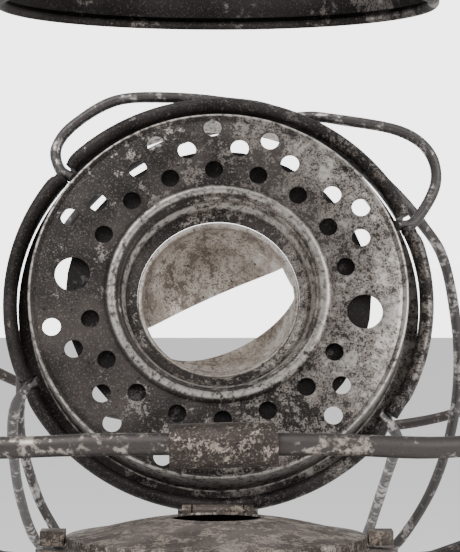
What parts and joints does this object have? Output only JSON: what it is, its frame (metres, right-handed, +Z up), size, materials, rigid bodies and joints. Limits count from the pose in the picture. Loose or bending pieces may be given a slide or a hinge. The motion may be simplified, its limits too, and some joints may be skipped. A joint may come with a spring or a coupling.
{
  "type": "hanging lantern",
  "caption": "Hand lantern of worn tinned steel with side air tubes, a domed canopy, wire bails and a perforated globe plate in a wire basket that tilts open at the back.",
  "frame": {"origin": "centre of the fount's flat underside", "axes": "+Z up the lantern's axis, the front towards -Y, the basket's hinge at the rear along X"},
  "size_m": [0.1888, 0.2737, 0.3257],
  "materials": {
    "dark_steel": "worn",
    "worn_tin": "worn",
    "steel_wire": "satin",
    "cotton": "matte"
  },
  "bodies": {
    "frame": {"fount": "dark_steel", "air_chamber": "dark_steel", "side_tube_left": "dark_steel", "side_tube_right": "dark_steel", "crown_chamber": "dark_steel", "filler_neck": "worn_tin", "burner_collar": "worn_tin", "burner_body": "worn_tin", "wick_tube": "worn_tin", "chamber_dome": "worn_tin", "chamber_clip_left": "worn_tin", "chamber_clip_right": "worn_tin", "hinge_bracket": "worn_tin", "bail_stud_left": "steel_wire", "bail_stud_right": "steel_wire", "lift_stud_left": "steel_wire", "lift_stud_right": "steel_wire", "hinge_pin": "steel_wire"},
    "crown": {"canopy": "dark_steel", "chimney": "dark_steel", "crown_cap": "dark_steel", "cap_post_1": "dark_steel", "cap_post_2": "dark_steel", "cap_post_3": "dark_steel", "crown_knob": "worn_tin"},
    "basket": {"basket_ring": "dark_steel", "globe_plate": "worn_tin", "baffle_disc": "worn_tin", "burner_cone": "worn_tin", "hinge_knuckle": "worn_tin", "guard_wire_left": "steel_wire", "guard_wire_right": "steel_wire"},
    "carry_handle": {"carry_bail": "steel_wire"},
    "front_bail": {"lift_bail": "steel_wire"},
    "sleeve": {"bail_sleeve": "worn_tin"},
    "filler_lid": {"filler_cap": "worn_tin"},
    "wick_drive": {"wick_shaft": "worn_tin", "wick_knob": "worn_tin"},
    "wick_strip": {"wick": "cotton"}
  },
  "joints": [
    {"name": "basket_tilt", "type": "hinge", "parent": "frame", "child": "basket", "pos_m": [0, 0.056, 0.1035], "axis": [1, 0, 0], "range_deg": [0, 107]},
    {"name": "carry_bail_swing", "type": "hinge", "parent": "frame", "child": "carry_handle", "pos_m": [0, 0, 0.22], "axis": [1, 0, 0], "range_deg": [0, 170]},
    {"name": "front_bail_swing", "type": "hinge", "parent": "frame", "child": "front_bail", "pos_m": [0, 0, 0.14], "axis": [-1, 0, 0], "range_deg": [0, 25]},
    {"name": "sleeve_spin", "type": "hinge", "parent": "front_bail", "child": "sleeve", "pos_m": [0.0017, -0.0724, 0.128], "axis": [0.9996, 0, 0.0279], "continuous": true},
    {"name": "crown_lift", "type": "slide", "parent": "frame", "child": "crown", "axis": [0, 0, 1], "range_m": [0, 0.008]},
    {"name": "filler_cap_turn", "type": "hinge", "parent": "frame", "child": "filler_lid", "pos_m": [0.048, -0.02, 0.055], "axis": [0, 0, 1], "continuous": true},
    {"name": "wick_knob_turn", "type": "hinge", "parent": "frame", "child": "wick_drive", "pos_m": [0, -0.0036, 0.067], "axis": [1, 0, 0], "range_deg": [0, 150]},
    {"name": "wick_rise", "type": "slide", "parent": "frame", "child": "wick_strip", "axis": [0, 0, 1], "range_m": [0, 0.006]}
  ],
  "couplings": [
    {"joint": "wick_rise", "follows": "wick_knob_turn", "m_per_rad": 0.0022}
  ]
}
